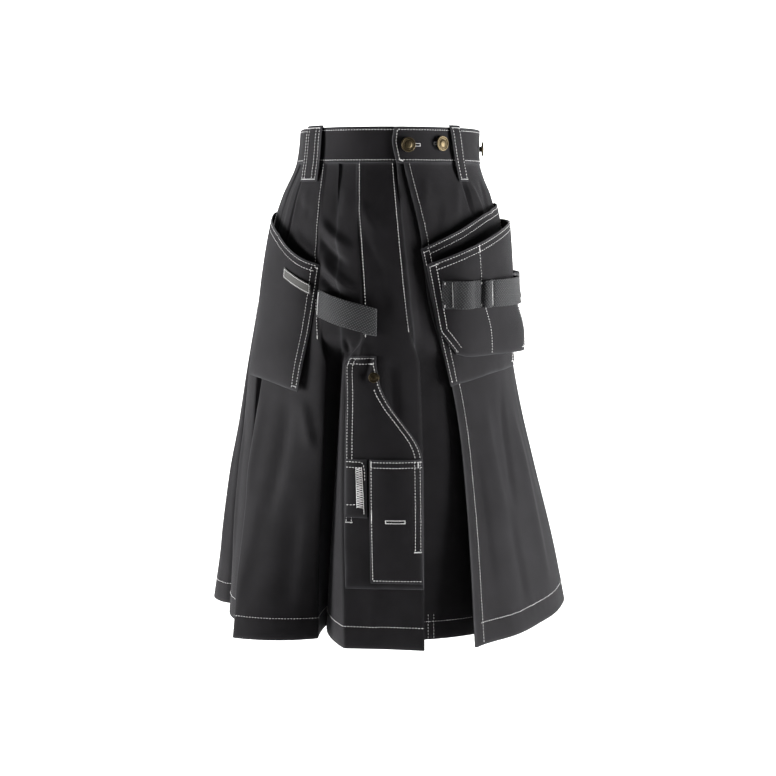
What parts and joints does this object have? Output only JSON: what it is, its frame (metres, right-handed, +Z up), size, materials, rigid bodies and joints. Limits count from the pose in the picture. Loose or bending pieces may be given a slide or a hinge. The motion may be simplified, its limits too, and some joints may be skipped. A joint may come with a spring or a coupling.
{
  "type": "utility kilt",
  "caption": "Wrap-around work kilt in black cotton canvas with box pleats, holster, back and leg pockets, webbing loops and belt loops, filled out as worn.",
  "frame": {"origin": "middle of the waist ring, halfway up the waistband", "axes": "+Z up, -Y to the wearer's front, -X to the wearer's right"},
  "size_m": [0.4622, 0.4579, 0.6035],
  "materials": {
    "canvas": "matte black cotton canvas, faintly brushed",
    "webbing": "charcoal woven webbing",
    "thread": "white sewing thread",
    "brass": "antique brass, darkened in its hollows",
    "label": "plain woven label"
  },
  "bodies": {
    "root": {"waistband": "canvas", "pleat_left_side": "canvas", "pleat_left_quarter": "canvas", "pleat_left_rear": "canvas", "pleat_back": "canvas", "pleat_right_rear": "canvas", "pleat_right_quarter": "canvas", "pleat_right_side": "canvas", "front_apron": "canvas", "under_apron": "canvas", "back_pocket_right": "canvas", "front_pocket_right": "canvas", "holster_right": "canvas", "tool_webbing_right": "webbing", "back_pocket_left": "canvas", "front_pocket_left": "canvas", "holster_left": "canvas", "tool_webbing_left": "webbing", "hammer_loop": "webbing", "leg_pocket": "canvas", "phone_pocket": "canvas", "pen_pocket": "canvas", "belt_loop_front_right": "canvas", "belt_loop_front_left": "canvas", "belt_loop_rear_left": "canvas", "belt_loop_rear_right": "canvas", "waist_button_1": "brass", "waist_button_2": "brass", "waist_button_3": "brass", "leg_button": "brass", "label": "label"}
  },
  "joints": []
}
